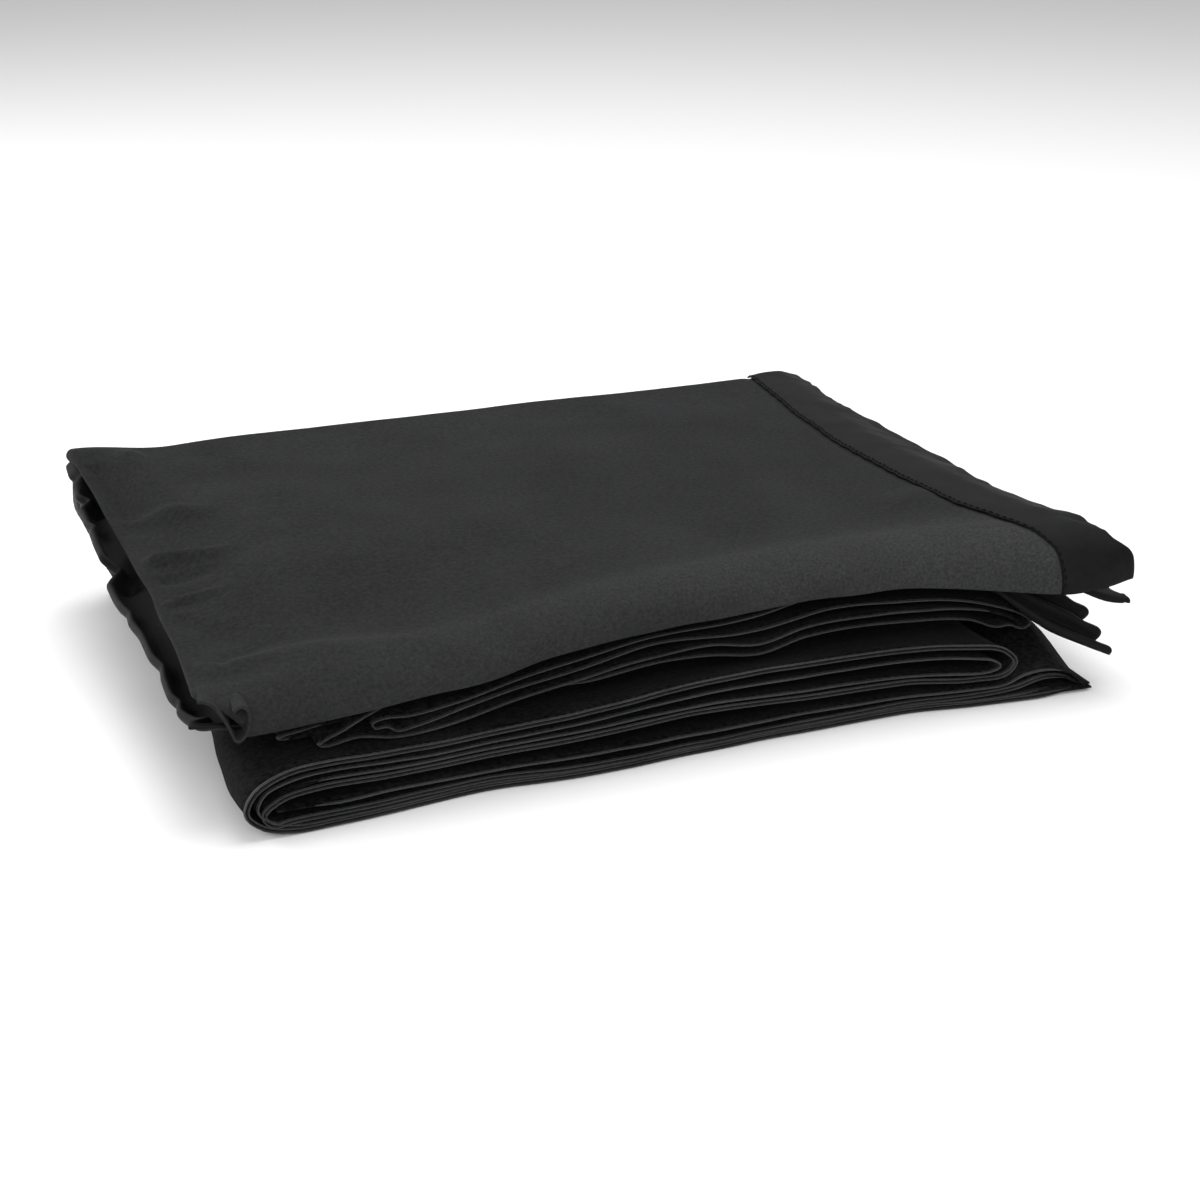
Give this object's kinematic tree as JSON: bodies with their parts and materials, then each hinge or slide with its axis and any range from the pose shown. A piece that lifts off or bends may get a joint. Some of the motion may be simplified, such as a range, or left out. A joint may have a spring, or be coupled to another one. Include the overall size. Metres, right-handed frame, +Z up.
{
  "type": "barber cape",
  "caption": "Hairdresser's cape folded into a flat pile: matte cloth with a wide satin side hem, rolled front hems, and a snap neck band inside the last fold, which opens.",
  "frame": {"origin": "under the middle of the folded pile, on the surface it lies on", "axes": "+X along the pile's length, towards the wide side hem; -Y towards the front edge with the hems; +Z up"},
  "size_m": [0.37, 0.284, 0.0703],
  "materials": {
    "matte_cloth": "matte black woven cloth with a fine suede-like nap",
    "satin_cloth": "black satin face with a soft sheen",
    "rolled_hem": "black cloth in a narrow rolled and stitched hem",
    "seam_thread": "black polyester sewing thread",
    "neck_band_cloth": "black twill neck band",
    "stud_metal": "black nickel press studs",
    "label_satin": "blank white satin label"
  },
  "bodies": {
    "lower_half": {"lower_outer_ply": "matte_cloth", "lower_outer_hem": "rolled_hem", "lower_inner_ply": "satin_cloth", "lower_inner_hem": "rolled_hem", "lower_hem_thread": "seam_thread", "neck_band": "neck_band_cloth", "neck_band_lining": "satin_cloth", "neck_band_thread": "seam_thread", "socket_cap_1": "stud_metal", "socket_cap_2": "stud_metal", "socket_cap_3": "stud_metal", "socket_cap_4": "stud_metal", "socket_cap_5": "stud_metal", "stud_socket_1": "stud_metal", "stud_socket_2": "stud_metal", "stud_socket_3": "stud_metal", "stud_socket_4": "stud_metal", "stud_socket_5": "stud_metal", "stud_cap_1": "stud_metal", "stud_cap_2": "stud_metal", "press_stud_1": "stud_metal", "press_stud_2": "stud_metal", "care_label": "label_satin"},
    "upper_half": {"upper_outer_ply": "matte_cloth", "upper_outer_hem": "rolled_hem", "upper_middle_ply": "satin_cloth", "upper_middle_hem": "rolled_hem", "upper_inner_ply": "matte_cloth", "upper_inner_hem": "rolled_hem", "upper_core_fold": "satin_cloth", "upper_core_hem": "rolled_hem", "second_panel": "matte_cloth", "second_side_hem": "satin_cloth", "third_side_hem": "satin_cloth", "top_panel": "matte_cloth", "wide_side_hem": "satin_cloth", "wide_hem_thread": "seam_thread", "spine_fold": "satin_cloth"}
  },
  "joints": [
    {"name": "last_fold_open", "type": "hinge", "parent": "lower_half", "child": "upper_half", "pos_m": [-0.192, 0, 0.036], "axis": [0, -1, 0], "range_deg": [0, 180]}
  ]
}
